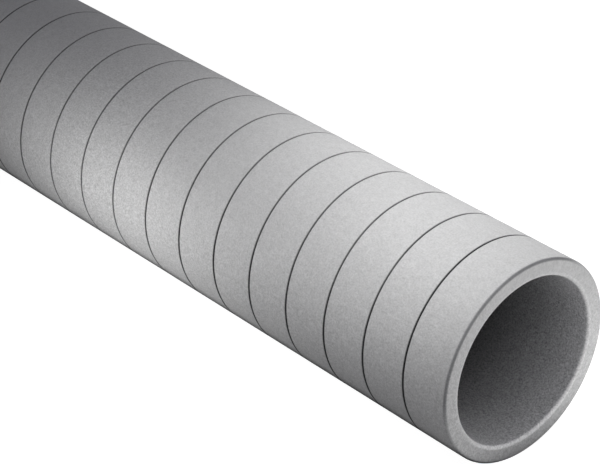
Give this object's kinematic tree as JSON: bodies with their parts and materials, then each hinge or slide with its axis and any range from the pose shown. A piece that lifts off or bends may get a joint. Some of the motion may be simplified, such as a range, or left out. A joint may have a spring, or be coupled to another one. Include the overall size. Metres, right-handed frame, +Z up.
{
  "type": "insulated duct pipe",
  "caption": "Straight length of insulated ventilation duct pipe: a round grey foam tube with a smooth bore, narrow ring seams round the outside and square ends with rounded edges.",
  "frame": {"origin": "on the floor under the middle of the pipe, which lies on its side: the centre of the bottom of its box", "axes": "+X along the pipe towards the end that the picture shows, +Z up, +Y across the pipe"},
  "size_m": [1, 0.1938, 0.1938],
  "materials": {
    "grey_foam": "matt light grey closed-cell foam with a fine grain"
  },
  "bodies": {
    "root": {"duct_pipe": "grey_foam"}
  },
  "joints": []
}
